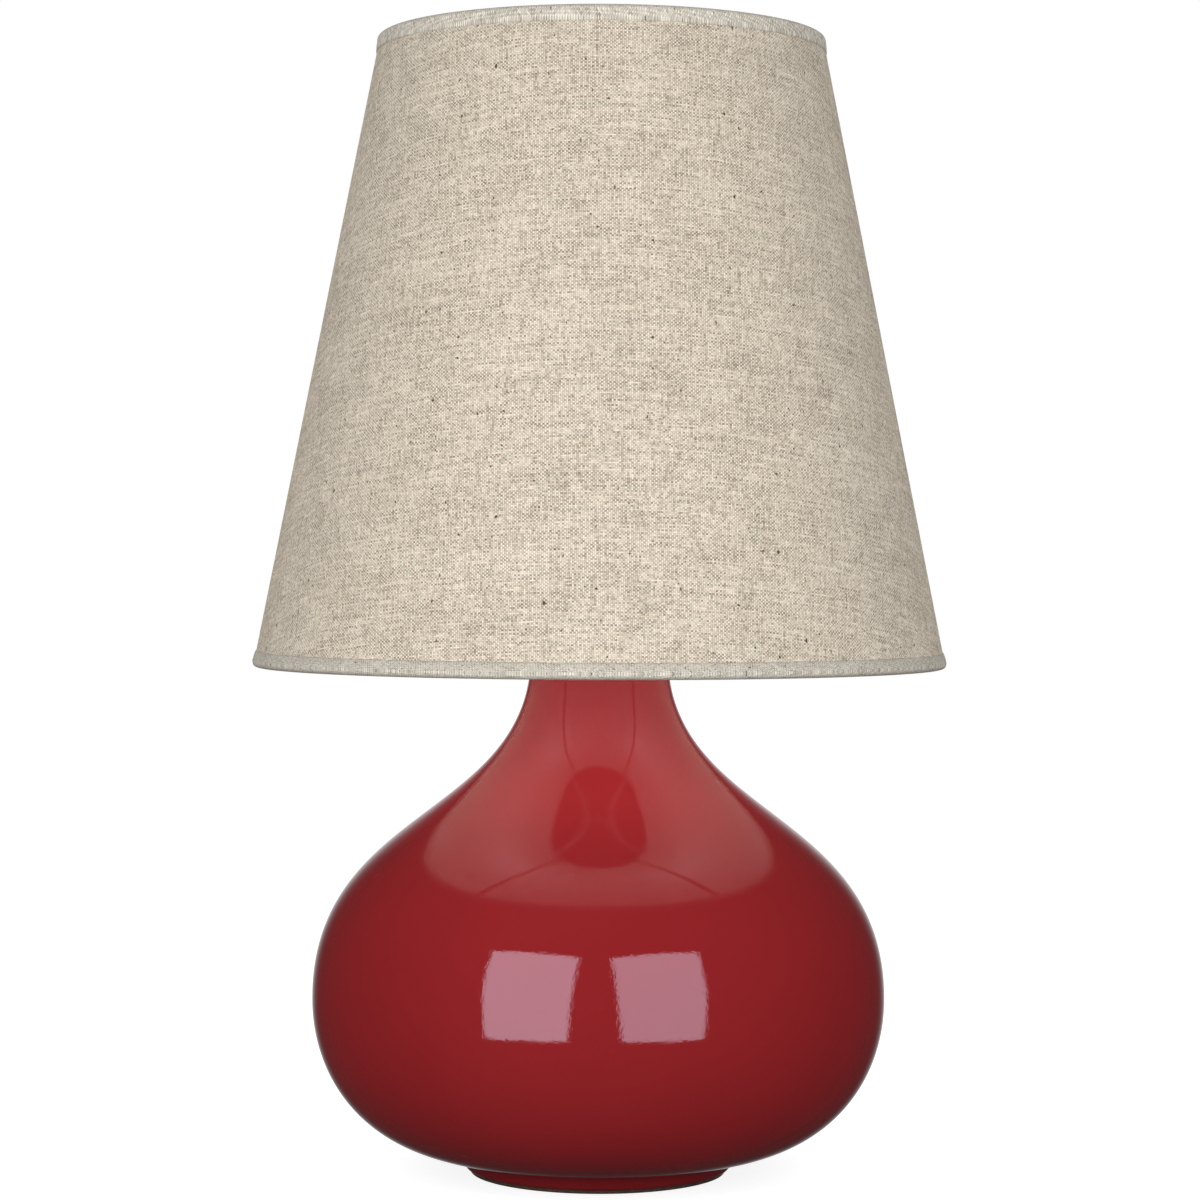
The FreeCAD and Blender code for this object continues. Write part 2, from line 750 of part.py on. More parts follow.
def rim_trim(level, way):
    # Folded tape round a rim. It covers the cloth's edge, the wire ring and a little of the inside.
    # way is 1 at the lower rim, where the tape's legs run up, and -1 at the upper rim.
    face = cloth_radius(level)
    outer = face + trim_thickness
    middle = outer - rim_radius
    inner = outer - 2 * rim_radius
    leg = way * (trim_width - rim_radius)
    turn = way * trim_turn
    lean = shade_slope
    tip = level - way * rim_radius
    under = tip + way * trim_thickness
    inside = inner + trim_thickness
    outer_arc = arc(point(outer, level), point(middle, tip), point(inner, level))
    inner_arc = arc(point(inside, level), point(middle, under), point(face, level))
    outer_leg = outline([
        point(face, level), point(face - lean * leg, level + leg), point(outer - lean * leg, level + leg),
        point(outer, level)])
    inner_leg = outline([
        point(inner, level), point(inner - lean * turn, level + turn),
        point(inside - lean * turn, level + turn), point(inside, level)])
    return turned(outer_leg + [outer_arc] + inner_leg + [inner_arc])


def ring_radius(level):
    return cloth_radius(level) - shade_wall - ring_wire_radius - ring_gap / 2


def rim_ring(level):
    return Part.makeTorus(ring_radius(level), ring_wire_radius, Vector(0, 0, level), axis_z)


def spider_hub():
    hole = stud_thread_radius + hub_washer_gap
    return disc(hub_washer_radius, hole, hub_washer_bottom, hub_washer_thickness)


def spider_arms():
    level = hub_washer_bottom + hub_washer_thickness / 2
    top_level = wall_top - ring_wire_radius - running_gap
    top = point(ring_radius(top_level), top_level)
    corner = point(ring_radius(level), level)
    start = point(hub_washer_radius + running_gap, level)
    arm = rod(rounded_path([start, corner, top], [arm_bend]), ring_wire_radius)
    arms = []
    for step in range(arm_count):
        copy = arm.copy()
        copy.rotate(Vector(0, 0, 0), axis_z, arm_first_angle + step * full_turn / arm_count)
        arms.append(copy)
    return Part.makeCompound(arms)


def finial():
    collar_top = finial_bottom + finial_collar_height
    waist_top = collar_top + finial_waist_height
    ball_start = math.sqrt(finial_ball_radius ** 2 - finial_waist_radius ** 2)
    ball_level = waist_top + ball_start
    ball_top = ball_level + finial_ball_radius
    bore = stud_thread_radius + slide_gap
    bore_top = finial_bottom + finial_bore_depth
    edges = outline([
        point(0, ball_top), point(0, bore_top), point(bore, bore_top), point(bore, finial_bottom),
        point(finial_collar_radius, finial_bottom), point(finial_collar_radius, collar_top),
        point(finial_waist_radius, collar_top), point(finial_waist_radius, waist_top)])
    widest = point(finial_ball_radius, ball_level)
    ball = arc(point(finial_waist_radius, waist_top), widest, point(0, ball_top))
    return turned(edges + [ball])


nodes = {
    "felt_pad": felt_pad(),
    "ceramic_body": ceramic_body(),
    "cord_bushing": cord_bushing(),
    "threaded_pipe": threaded_pipe(),
    "rubber_washer": washer(rubber_radius, rubber_bottom, rubber_thickness),
    "bottom_washer": washer(bottom_washer_radius, bottom_washer_bottom, bottom_washer_thickness),
    "lock_washer": washer(lock_washer_radius, lock_washer_bottom, lock_washer_thickness),
    "bottom_nut": hex_nut(bottom_nut_bottom, bottom_nut_thickness),
    "vase_cap": vase_cap(),
    "neck_spool": neck_spool(),
    "harp_saddle": harp_saddle(),
    "saddle_nut": hex_nut(saddle_top, saddle_nut_thickness),
    "socket_cap": socket_cap(),
    "set_screw": set_screw(),
    "socket_shell": socket_shell(),
    "socket_sleeve": socket_sleeve(),
    "socket_body": socket_body(),
    "screw_shell": screw_shell(),
    "centre_contact": centre_contact(),
    "terminal_screws": terminal_screws(),
    "switch_shaft": switch_shaft(),
    "switch_knob": switch_knob(),
    "bulb_glass": bulb_glass(),
    "bulb_base": bulb_base(),
    "bulb_insulator": bulb_insulator(),
    "bulb_contact": bulb_contact(),
    "harp_wire": harp_wire(),
    "ferrule_left": ferrule(-1),
    "ferrule_right": ferrule(1),
    "harp_stud": harp_stud(),
    "spider_hub": spider_hub(),
    "spider_arms": spider_arms(),
    "top_ring": rim_ring(wall_top),
    "bottom_ring": rim_ring(wall_bottom),
    "shade_liner": cone_shell(cloth_thickness, liner_thickness),
    "shade_cloth": cone_shell(0, cloth_thickness),
    "top_trim": rim_trim(wall_top, -1),
    "bottom_trim": rim_trim(wall_bottom, 1),
    "finial": finial(),
}

os.makedirs("parts", exist_ok=True)
for name, shape in nodes.items():
    shape.exportStep("parts/" + name + ".step")
    print(name, len(shape.Solids), "solids", round(shape.Volume / 1000, 2), "cm3", shape.isValid())
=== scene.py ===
import math
import bmesh
import bpy
from mathutils import Matrix, Vector
from mathutils.geometry import interpolate_bezier


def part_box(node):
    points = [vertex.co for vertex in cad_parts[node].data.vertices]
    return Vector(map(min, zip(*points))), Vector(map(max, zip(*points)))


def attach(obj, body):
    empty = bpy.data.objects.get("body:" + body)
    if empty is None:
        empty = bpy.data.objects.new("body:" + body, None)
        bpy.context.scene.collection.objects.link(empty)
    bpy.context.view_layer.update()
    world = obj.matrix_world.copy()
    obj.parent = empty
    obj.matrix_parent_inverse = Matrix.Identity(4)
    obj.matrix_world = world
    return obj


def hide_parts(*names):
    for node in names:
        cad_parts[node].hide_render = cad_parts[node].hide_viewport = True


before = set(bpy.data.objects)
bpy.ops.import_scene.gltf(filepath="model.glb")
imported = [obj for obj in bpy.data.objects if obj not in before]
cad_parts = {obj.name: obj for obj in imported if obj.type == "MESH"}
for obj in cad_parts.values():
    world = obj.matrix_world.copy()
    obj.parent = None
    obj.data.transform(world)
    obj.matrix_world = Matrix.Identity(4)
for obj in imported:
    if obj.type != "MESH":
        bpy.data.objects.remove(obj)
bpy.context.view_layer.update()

fullTurn = 2 * math.pi
toBack = math.pi / 2          # azimuth of the lamp's back, where the linen and the tapes are lapped


# Camera and studio

cameraSetup = {
    "lens": 100, "sensor": 36, "distance": 1.7897, "height": 0.3358, "tiltDeg": -0.931, "rollDeg": 0.2,
    "aside": 0.0002,
}

softBoxes = {
    "left": {"azimuthDeg": -26.9, "power": 9.0},
    "right": {"azimuthDeg": 24.1, "power": 8.0},
    "elevationDeg": 14.0, "distance": 1.35, "aimHeight": 0.036, "width": 0.80, "height": 1.10,
}

shadeLamps = {
    "liningGlow": {"kind": "POINT", "count": 3, "firstDeg": 90.0, "radius": 0.085, "height": 0.40,
                   "size": 0.03, "power": 0.13},
    "neckGlow": {"kind": "SPOT", "count": 6, "firstDeg": -60.0, "radius": 0.135, "height": 0.285,
                 "size": 0.02, "power": 0.15, "aimHeight": 0.22, "coneDeg": 120.0},
}

studio = {
    "floorSize": 12, "floorShade": 0.37, "floorWhite": 0.45, "floorGlow": 0.86,
    "roomLight": 0.53, "backLight": 0.82, "lightFrom": -0.3, "lightTo": 0.6,
    "roomGloss": 0.035, "backEdge": 0.78, "backFalloff": 5.0,
}


class Signal:
    # A node's output that adds Maths nodes when it is used in a sum
    def __init__(self, finish, socket):
        self.finish = finish
        self.socket = socket

    def __add__(self, other):
        return self.finish.maths("ADD", self, other)

    def __sub__(self, other):
        return self.finish.maths("SUBTRACT", self, other)

    def __rsub__(self, other):
        return self.finish.maths("SUBTRACT", other, self)

    def __mul__(self, other):
        return self.finish.maths("MULTIPLY", self, other)

    def __pow__(self, other):
        return self.finish.maths("POWER", self, other)

    __radd__ = __add__
    __rmul__ = __mul__


class Finish:
    # A material and the nodes that make it
    def __init__(self, name, tree=None):
        if tree is None:
            self.material = bpy.data.materials.new(name)
            self.material.use_nodes = True
            tree = self.material.node_tree
        self.tree = tree
        self.tree.nodes.clear()

    def node(self, kind, settings=None, sockets=None, output=0):
        made = self.tree.nodes.new(kind)
        for key, value in (settings or {}).items():
            if key == "stops":
                self.setStops(made.color_ramp, value)
            else:
                setattr(made, key, value)
        for key, value in (sockets or {}).items():
            if isinstance(value, Signal):
                self.tree.links.new(value.socket, made.inputs[key])
            else:
                made.inputs[key].default_value = value
        return Signal(self, made.outputs[output] if len(made.outputs) else None)

    def setStops(self, ramp, stops):
        while len(ramp.elements) < len(stops):
            ramp.elements.new(1.0)
        for element, (place, color) in zip(ramp.elements, stops):
            element.position = place
            element.color = color

    def place(self):
        return self.node("ShaderNodeTexCoord", output="Object")

    def onCloth(self):
        return self.node("ShaderNodeUVMap", {"uv_map": "flat"})

    def turned(self, vector, degrees):
        return self.node("ShaderNodeMapping", sockets={
            "Vector": vector, "Rotation": (0, 0, math.radians(degrees))})

    def noise(self, vector, scale, detail, rough, kind="Fac"):
        return self.node("ShaderNodeTexNoise", sockets={
            "Vector": vector, "Scale": scale, "Detail": detail, "Roughness": rough}, output=kind)

    def maths(self, operation, *values):
        return self.node("ShaderNodeMath", {"operation": operation}, dict(enumerate(values)))

    def part(self, vector, axis):
        return self.node("ShaderNodeSeparateXYZ", sockets={"Vector": vector}, output=axis)

    def spot(self, x, y):
        return self.node("ShaderNodeCombineXYZ", sockets={"X": x, "Y": y})

    def fit(self, value, low, high, toLow=0.0, toHigh=1.0):
        return self.node("ShaderNodeMapRange", sockets={
            "Value": value, "From Min": low, "From Max": high, "To Min": toLow, "To Max": toHigh})

    def blendColors(self, factor, first, second):
        made = self.tree.nodes.new("ShaderNodeMix")
        made.data_type = "RGBA"
        for socket, value in ((made.inputs[0], factor), (made.inputs[6], first), (made.inputs[7], second)):
            if isinstance(value, Signal):
                self.tree.links.new(value.socket, socket)
            else:
                socket.default_value = value
        return Signal(self, made.outputs[2])

    def bump(self, height, depth, under=None):
        sockets = {"Height": height, "Distance": depth, "Strength": 1.0}
        if under is not None:
            sockets["Normal"] = under
        return self.node("ShaderNodeBump", sockets=sockets)

    def surface(self, sockets):
        shader = self.node("ShaderNodeBsdfPrincipled", sockets=sockets)
        self.node("ShaderNodeOutputMaterial", sockets={"Surface": shader})
        return self.material


def rgb(red, green, blue):
    return (red, green, blue, 1.0)


def grey(level):
    return rgb(level, level, level)


def makeCamera():
    camera = bpy.data.objects.new("camera", bpy.data.cameras.new("camera"))
    bpy.context.scene.collection.objects.link(camera)
    camera.data.lens = cameraSetup["lens"]
    camera.data.sensor_width = cameraSetup["sensor"]
    camera.data.sensor_fit = "HORIZONTAL"
    camera.location = (cameraSetup["aside"], -cameraSetup["distance"], cameraSetup["height"])
    tilt = Matrix.Rotation(math.radians(90 + cameraSetup["tiltDeg"]), 3, "X")
    roll = Matrix.Rotation(math.radians(cameraSetup["rollDeg"]), 3, "Z")
    camera.rotation_euler = (tilt @ roll).to_euler()
    bpy.context.scene.camera = camera


def makeSoftBox(name):
    azimuth = math.radians(softBoxes[name]["azimuthDeg"])
    elevation = math.radians(softBoxes["elevationDeg"])
    light = bpy.data.lights.new(name + "SoftBox", "AREA")
    light.shape = "RECTANGLE"
    light.size = softBoxes["width"]
    light.size_y = softBoxes["height"]
    light.energy = softBoxes[name]["power"]
    box = bpy.data.objects.new(name + "SoftBox", light)
    bpy.context.scene.collection.objects.link(box)
    away = Vector((math.sin(azimuth) * math.cos(elevation), -math.cos(azimuth) * math.cos(elevation),
                   math.sin(elevation)))
    box.location = Vector((0, 0, softBoxes["aimHeight"])) + away * softBoxes["distance"]
    box.rotation_euler = away.to_track_quat("Z", "Y").to_euler()
    box.visible_camera = False


def makeShadeLamps(name):
    # A ring of weak, unseen lamps inside the shade, for the light that its cloth lets through
    sizes = shadeLamps[name]
    for step in range(sizes["count"]):
        angle = math.radians(sizes["firstDeg"]) + fullTurn * step / sizes["count"]
        light = bpy.data.lights.new("%s%d" % (name, step), sizes["kind"])
        light.energy = sizes["power"]
        light.shadow_soft_size = sizes["size"]
        lamp = bpy.data.objects.new("%s%d" % (name, step), light)
        bpy.context.scene.collection.objects.link(lamp)
        lamp.location = (sizes["radius"] * math.cos(angle), sizes["radius"] * math.sin(angle),
                         sizes["height"])
        if sizes["kind"] == "SPOT":
            light.spot_size = math.radians(sizes["coneDeg"])
            light.spot_blend = 1.0
            toNeck = Vector((0, 0, sizes["aimHeight"])) - lamp.location
            lamp.rotation_euler = toNeck.to_track_quat("-Z", "Y").to_euler()
        lamp.visible_camera = False
        lamp.visible_glossy = False


def makeWorld():
    # The camera sees plain white. The glaze mirrors it from straight behind, and a dim room elsewhere
    world = bpy.data.worlds.new("studio")
    world.use_nodes = True
    bpy.context.scene.world = world
    air = Finish("studio", world.node_tree)
    direction = air.node("ShaderNodeTexCoord", output="Generated")
    along = air.node("ShaderNodeSeparateXYZ", sockets={"Vector": direction}, output="Y")
    behind = air.fit(along, studio["backEdge"], 1.0) ** studio["backFalloff"]
    mirrored = behind * (1 - studio["roomGloss"]) + studio["roomGloss"]
    glossy = air.node("ShaderNodeLightPath", output="Is Glossy Ray")
    camera = air.node("ShaderNodeLightPath", output="Is Camera Ray")
    through = air.node("ShaderNodeLightPath", output="Is Transmission Ray")
    spread = air.fit(along, studio["lightFrom"], studio["lightTo"], studio["roomLight"], studio["backLight"])
    room = mirrored * glossy + spread * (1 - glossy)
    seen = camera + through
    strength = room * (1 - seen) + seen
    light = air.node("ShaderNodeBackground", sockets={"Color": rgb(1, 1, 1), "Strength": strength})
    air.node("ShaderNodeOutputWorld", sockets={"Surface": light})


def makeFloor():
    bm = bmesh.new()
    bmesh.ops.create_grid(bm, x_segments=1, y_segments=1, size=studio["floorSize"] / 2)
    mesh = bpy.data.meshes.new("floor")
    bm.to_mesh(mesh)
    bm.free()
    floor = bpy.data.objects.new("floor", mesh)
    bpy.context.scene.collection.objects.link(floor)
    paint = Finish("floorPaint")
    camera = paint.node("ShaderNodeLightPath", output="Is Camera Ray")
    tone = paint.blendColors(camera, grey(studio["floorShade"]), grey(studio["floorWhite"]))
    dull = paint.node("ShaderNodeBsdfDiffuse", sockets={"Color": tone})
    glow = paint.node("ShaderNodeEmission", sockets={"Strength": camera * studio["floorGlow"]})
    both = paint.node("ShaderNodeAddShader", sockets={0: dull, 1: glow})
    paint.node("ShaderNodeOutputMaterial", sockets={"Surface": both})
    mesh.materials.append(paint.material)
    floor.visible_glossy = False


# Finishes

glaze = {
    "color": rgb(0.256, 0.0147, 0.0172), "deep": rgb(0.200, 0.0103, 0.0120), "rough": 0.015, "ior": 1.70,
    "tint": rgb(0.89, 0.81, 1.0), "pool": (7.0, 3.0, 0.55), "poolFrom": 0.35, "poolTo": 0.70,
    "poolShare": 0.35, "wave": (26.0, 2.0, 0.5), "waveDepth": 0.00015,
    "skin": (600.0, 2.0, 0.6), "skinDepth": 0.00003,
}


def makeGlaze():
    paint = Finish("redGlaze")
    where = paint.place()
    pool = paint.noise(where, *glaze["pool"])
    depth = paint.fit(pool, glaze["poolFrom"], glaze["poolTo"]) * glaze["poolShare"]
    color = paint.blendColors(depth, glaze["color"], glaze["deep"])
    wave = paint.noise(where, *glaze["wave"])
    skin = paint.noise(where, *glaze["skin"])
    soft = paint.bump(wave, glaze["waveDepth"])
    normal = paint.bump(skin, glaze["skinDepth"], under=soft)
    return paint.surface({
        "Base Color": color, "Roughness": glaze["rough"], "IOR": glaze["ior"], "Normal": normal,
        "Specular Tint": glaze["tint"]})


linen = {
    "pale": rgb(0.90, 0.81, 0.685), "middle": rgb(0.66, 0.575, 0.465), "dark": rgb(0.26, 0.215, 0.16),
    "fleck": rgb(0.10, 0.07, 0.045), "acrossPerMetre": 1010.0, "downPerMetre": 1117.0, "turnDeg": 0.0,
    "middleTone": 0.54, "thread": 1.85, "stitch": 1.15, "checker": 0.42, "cloud": (32.0, 0.42),
    "relief": 0.00030, "rough": 0.95,
}

tape = {
    "pale": rgb(0.78, 0.735, 0.65), "middle": rgb(0.565, 0.525, 0.452), "dark": rgb(0.245, 0.215, 0.172),
    "fleck": rgb(0.12, 0.09, 0.06), "acrossPerMetre": 1010.0, "downPerMetre": 1117.0, "turnDeg": 45.0,
    "middleTone": 0.54, "thread": 1.3, "stitch": 0.9, "checker": 0.34, "cloud": (60.0, 0.20),
    "relief": 0.00025, "rough": 0.92,
}

topTapePaintedLight = 1.11            # the tape of the top rim is painted a little paler than that of the bottom rim: painted light on the same tape
topTape = dict(tape)
for toneName in ("pale", "middle", "dark"):
    topTape[toneName] = rgb(*(level * topTapePaintedLight for level in tape[toneName][:3]))

# Noises are (scale, detail, roughness). Lengths and stretches are shares of a thread's width
weave = {
    "sway": (55.0, 1.0, 0.5), "swayThreads": 1.2, "under": 0.25,
    "threadNoise": (1.0, 3.0, 0.65), "threadStep": 7.31, "alongWarp": 0.045, "alongWeft": 0.040,
    "stitchNoise": (1.0, 0.0, 0.5), "stitchStep": (3.17, 5.71), "cloudNoise": (5.0, 0.65),
    "heightMiddle": 0.6, "gapShade": 0.45, "toneHeight": 0.5,
    "fleckNoise": (1.0, 1.0, 0.5), "fleckStretch": (0.36, 0.27), "fleckFrom": 0.715, "fleckTo": 0.77,
    "specular": 0.2,
}


def makeWoven(name, sizes):
    # Plain weave: warp or weft lies on top at each crossing, and each thread has its own tone
    paint = Finish(name)
    flat = paint.turned(paint.onCloth(), sizes["turnDeg"])
    sway = paint.noise(flat, *weave["sway"], kind="Color")
    across = paint.part(flat, "X") * sizes["acrossPerMetre"] + paint.part(sway, "X") * weave["swayThreads"]
    down = paint.part(flat, "Y") * sizes["downPerMetre"] + paint.part(sway, "Y") * weave["swayThreads"]
    warp = paint.maths("FLOOR", across)
    weft = paint.maths("FLOOR", down)
    warpOver = paint.maths("FRACT", (warp + weft) * 0.5) * 2
    warpRound = 1 - (paint.maths("FRACT", across) * 2 - 1) ** 2
    weftRound = 1 - (paint.maths("FRACT", down) * 2 - 1) ** 2
    under = weave["under"]
    warpHeight = warpRound * (under + (1 - under) * weftRound * warpOver)
    weftHeight = weftRound * (under + (1 - under) * warpRound * (1 - warpOver))
    height = paint.maths("MAXIMUM", warpHeight, weftHeight)
    onWarp = paint.maths("GREATER_THAN", warpHeight, weftHeight)
    step = weave["threadStep"]
    warpTone = paint.noise(paint.spot(warp * step, down * weave["alongWarp"]), *weave["threadNoise"])
    weftTone = paint.noise(paint.spot(across * weave["alongWeft"], weft * step), *weave["threadNoise"])
    thread = warpTone * onWarp + weftTone * (1 - onWarp)
    stitchAcross, stitchDown = weave["stitchStep"]
    stitch = paint.noise(paint.spot(warp * stitchAcross, weft * stitchDown), *weave["stitchNoise"])
    cloudScale, cloudTone = sizes["cloud"]
    cloud = paint.noise(flat, cloudScale, *weave["cloudNoise"])
    # The height term darkens the tone where the weave dips between threads: painted shade in the gaps
    tone = ((thread - 0.5) * sizes["thread"] + (stitch - 0.5) * sizes["stitch"]
            + (onWarp - 0.5) * sizes["checker"] + (cloud - 0.5) * cloudTone
            + (height - weave["heightMiddle"]) * weave["gapShade"] + sizes["middleTone"])
    color = paint.node("ShaderNodeValToRGB", {"stops": [
        (0.0, sizes["dark"]), (0.5, sizes["middle"]), (1.0, sizes["pale"])]}, {"Fac": tone})
    fleckAcross, fleckDown = weave["fleckStretch"]
    speck = paint.noise(paint.spot(across * fleckAcross, down * fleckDown), *weave["fleckNoise"])
    mark = paint.fit(speck, weave["fleckFrom"], weave["fleckTo"])
    color = paint.blendColors(mark, color, sizes["fleck"])
    normal = paint.bump(height + thread * weave["toneHeight"], sizes["relief"])
    return paint.surface({
        "Base Color": color, "Roughness": sizes["rough"], "Normal": normal,
        "Specular IOR Level": weave["specular"]})


plain = {
    "drift": (3.0, 0.6), "darkShare": 2, "rub": (2.0, 0.5), "rubFiner": 3, "relief": (2.0, 0.5),
    "from": 0.3, "to": 0.7, "smoother": 0.8, "rougher": 1.25,
}


def makePlain(name, color, rough, metallic=0.0, grain=(60.0, 0.08), relief=(900.0, 0.00002)):
    # A plain finish whose colour drifts a little and whose surface has a fine grain
    paint = Finish(name)
    where = paint.place()
    drift = paint.fit(paint.noise(where, grain[0], *plain["drift"]), plain["from"], plain["to"])
    darker = rgb(*(level * (1 - grain[1] * plain["darkShare"]) for level in color[:3]))
    mixed = paint.blendColors(drift, color, darker)
    rubbed = paint.noise(where, grain[0] * plain["rubFiner"], *plain["rub"])
    rub = paint.fit(rubbed, plain["from"], plain["to"], rough * plain["smoother"],
                    min(1.0, rough * plain["rougher"]))
    normal = paint.bump(paint.noise(where, relief[0], *plain["relief"]), relief[1])
    return paint.surface({"Base Color": mixed, "Roughness": rub, "Metallic": metallic, "Normal": normal})


plainFinishes = {
    "lacqueredBrass": {"color": rgb(0.70, 0.48, 0.20), "rough": 0.22, "metallic": 1.0},
    "zincSteel": {"color": rgb(0.55, 0.55, 0.54), "rough": 0.38, "metallic": 1.0},
    "blackRubber": {"color": rgb(0.03, 0.03, 0.03), "rough": 0.8},
    "brownFelt": {"color": rgb(0.10, 0.062, 0.042), "rough": 1.0, "grain": (400.0, 0.2),
                  "relief": (2500.0, 0.0004)},
    "blackPlastic": {"color": rgb(0.018, 0.018, 0.018), "rough": 0.42, "relief": (1600.0, 0.00006)},
    "brownPhenolic": {"color": rgb(0.045, 0.03, 0.024), "rough": 0.3},
    "fibreBoard": {"color": rgb(0.40, 0.28, 0.16), "rough": 0.9, "grain": (300.0, 0.15)},
    "rolledMetal": {"color": rgb(0.78, 0.77, 0.75), "rough": 0.25, "metallic": 1.0},
    "frostedGlass": {"color": rgb(0.90, 0.89, 0.86), "rough": 0.35, "grain": (30.0, 0.02)},
    "darkGlass": {"color": rgb(0.02, 0.02, 0.025), "rough": 0.12},
    "coatedWire": {"color": rgb(0.80, 0.78, 0.73), "rough": 0.35, "grain": (80.0, 0.04)},
    # Dark seam colour: painted shade where the lapped lining is doubled and lets less light through
    "seamPaintedShade": {"color": rgb(0.12, 0.095, 0.07), "rough": 0.6, "grain": (60.0, 0.05)},
    "creamLining": {"color": rgb(0.86, 0.80, 0.70), "rough": 0.5, "grain": (25.0, 0.03),
                    "relief": (700.0, 0.00003)},
}

nodeFinishes = {
    "threaded_pipe": "zincSteel", "rubber_washer": "blackRubber", "bottom_washer": "zincSteel",
    "lock_washer": "zincSteel", "bottom_nut": "zincSteel", "cord_bushing": "blackPlastic",
    "vase_cap": "lacqueredBrass", "neck_spool": "lacqueredBrass", "harp_saddle": "lacqueredBrass",
    "saddle_nut": "lacqueredBrass", "socket_cap": "lacqueredBrass", "set_screw": "zincSteel",
    "socket_shell": "lacqueredBrass", "socket_sleeve": "fibreBoard", "socket_body": "brownPhenolic",
    "screw_shell": "rolledMetal", "centre_contact": "lacqueredBrass", "terminal_screws": "lacqueredBrass",
    "switch_shaft": "lacqueredBrass", "switch_knob": "blackPlastic", "bulb_glass": "frostedGlass",
    "bulb_base": "rolledMetal", "bulb_insulator": "darkGlass", "bulb_contact": "zincSteel",
    "harp_wire": "lacqueredBrass", "ferrule_left": "lacqueredBrass", "ferrule_right": "lacqueredBrass",
    "harp_stud": "lacqueredBrass", "spider_hub": "coatedWire", "spider_arms": "coatedWire",
    "top_ring": "coatedWire", "bottom_ring": "coatedWire", "finial": "lacqueredBrass",
}


def dressNodes():
    made = {name: makePlain(name, **sizes) for name, sizes in plainFinishes.items()}
    for node, finish in nodeFinishes.items():
        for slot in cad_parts[node].material_slots:
            slot.material = made[finish]
    return made


# Mesh helpers

def keepPiece(name, bm, material, body, nodes, sharpDeg=40):
    mesh = bpy.data.meshes.new(name)
    bm.to_mesh(mesh)
    bm.free()
    for face in mesh.polygons:
        face.use_smooth = True
    mesh.set_sharp_from_angle(angle=math.radians(sharpDeg))
    mesh.materials.append(material)
    piece = bpy.data.objects.new(name, mesh)
    bpy.context.scene.collection.objects.link(piece)
    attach(piece, body)
    if nodes:
        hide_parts(*nodes)
    print("made", name, len(mesh.polygons), "faces")
    return piece


def drawOutline(bm, points, closed):
    verts = [bm.verts.new((radius, 0, height)) for radius, height in points]
    for first, second in zip(verts, verts[1:]):
        bm.edges.new((first, second))
    if closed:
        bm.edges.new((verts[-1], verts[0]))


def spinRound(bm, steps, merge):
    bmesh.ops.spin(bm, geom=bm.verts[:] + bm.edges[:], cent=(0, 0, 0), axis=(0, 0, 1), dvec=(0, 0, 0),
                   angle=fullTurn, steps=steps, use_merge=merge, use_duplicate=False)


def turnedPiece(points, steps):
    # A closed outline of (radius, height) turned round the lamp's axis
    bm = bmesh.new()
    drawOutline(bm, points, True)
    spinRound(bm, steps, True)
    bmesh.ops.remove_doubles(bm, verts=bm.verts, dist=1e-6)
    bmesh.ops.recalc_face_normals(bm, faces=bm.faces)
    return bm


def curveThrough(start, startPull, endPull, end, count):
    # Points of one smooth curve in the outline's plane
    flat = [Vector((radius, height, 0)) for radius, height in (start, startPull, endPull, end)]
    return [(p.x, p.y) for p in interpolate_bezier(*flat, count)]


def quarterRound(centre, radius, fromDeg, toDeg, count):
    made = []
    for step in range(count + 1):
        angle = math.radians(fromDeg + (toDeg - fromDeg) * step / count)
        made.append((centre[0] + radius * math.cos(angle), centre[1] + radius * math.sin(angle)))
    return made


# Pot

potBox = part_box("ceramic_body")
pot = {
    "belly": potBox[1][0], "bellyHeight": 0.0941, "neck": 0.0368, "top": potBox[1][2],
    "footTop": 0.0100, "foot": 0.0750, "footBottom": potBox[0][2], "footTaper": 0.0035,
    "footRound": 0.0025, "throat": 0.0024, "wall": 0.0065, "rimRound": 0.0020,
    "recess": 0.058, "recessTop": 0.014, "floorTop": 0.0205, "floorCorner": 0.0946, "pipeHole": 0.00605,
    "flatPull": (0.1247, 0.0135), "lowPull": 0.0437, "highPull": 0.1023, "neckPull": 0.0892,
    "innerFlat": 0.1001, "innerLow": 0.0382, "innerHighPull": 0.0985, "innerNeckPull": 0.0935,
    "throatIn": 0.0006, "throatDrop": 0.0022, "throatOut": 0.0004, "throatTop": 0.0008,
    "underPoints": 60, "overPoints": 90, "innerPoints": 24, "innerUnderPoints": 14, "throatPoints": 8,
    "footPoints": 8, "rimPoints": 6, "steps": 288, "sharpDeg": 50,
}


